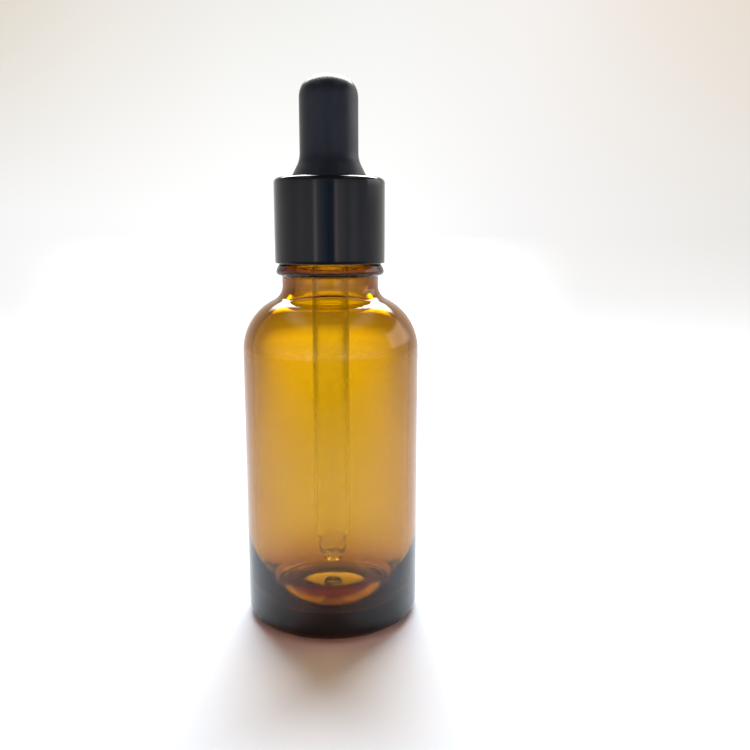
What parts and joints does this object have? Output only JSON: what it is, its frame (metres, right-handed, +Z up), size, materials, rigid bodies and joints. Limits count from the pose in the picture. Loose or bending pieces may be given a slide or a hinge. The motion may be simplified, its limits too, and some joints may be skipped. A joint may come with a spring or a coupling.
{
  "type": "medicine dropper bottle",
  "caption": "Amber glass bottle with a screw-on medicine dropper: gloss black collar, black rubber bulb, sealing washer and a clear glass pipette that lifts out.",
  "frame": {"origin": "on the bottle's axis, at the plane of the ring that it stands on", "axes": "+Z up along the common axis of bottle, closure, pipette and bulb; the glass thread starts at 30 degrees from +X towards +Y"},
  "size_m": [0.0332, 0.0332, 0.1018],
  "materials": {
    "amber_glass": "smooth moulded amber glass",
    "clear_glass": "drawn clear glass, fire-polished",
    "gloss_black_metal": "thin spun shell, gloss black lacquer",
    "black_plastic": "moulded",
    "white_plastic": "soft, slightly waxy",
    "black_rubber": "satin moulded rubber"
  },
  "bodies": {
    "bottle": {"amber_bottle": "amber_glass"},
    "washer": {"sealing_washer": "white_plastic"},
    "pipette": {"glass_pipette": "clear_glass"},
    "closure": {"screw_insert": "black_plastic", "collar_shell": "gloss_black_metal"},
    "bulb": {"rubber_bulb": "black_rubber"}
  },
  "joints": [
    {"name": "dropper_lift_out", "type": "slide", "parent": "bottle", "child": "washer", "axis": [0, 0, 1], "range_m": [0, 0.08]},
    {"name": "closure_lift", "type": "slide", "parent": "washer", "child": "pipette", "axis": [0, 0, 1], "range_m": [0, 0.0045]},
    {"name": "closure_turn", "type": "hinge", "parent": "pipette", "child": "closure", "pos_m": [0, 0, 0.0735], "axis": [0, 0, 1], "range_deg": [0, 540]},
    {"name": "bulb_press", "type": "slide", "parent": "closure", "child": "bulb", "axis": [0, 0, -1], "range_m": [0, 0.005], "deforming": ["rubber_bulb"]}
  ],
  "couplings": [
    {"joint": "closure_lift", "follows": "closure_turn", "m_per_rad": 0.00047746}
  ]
}
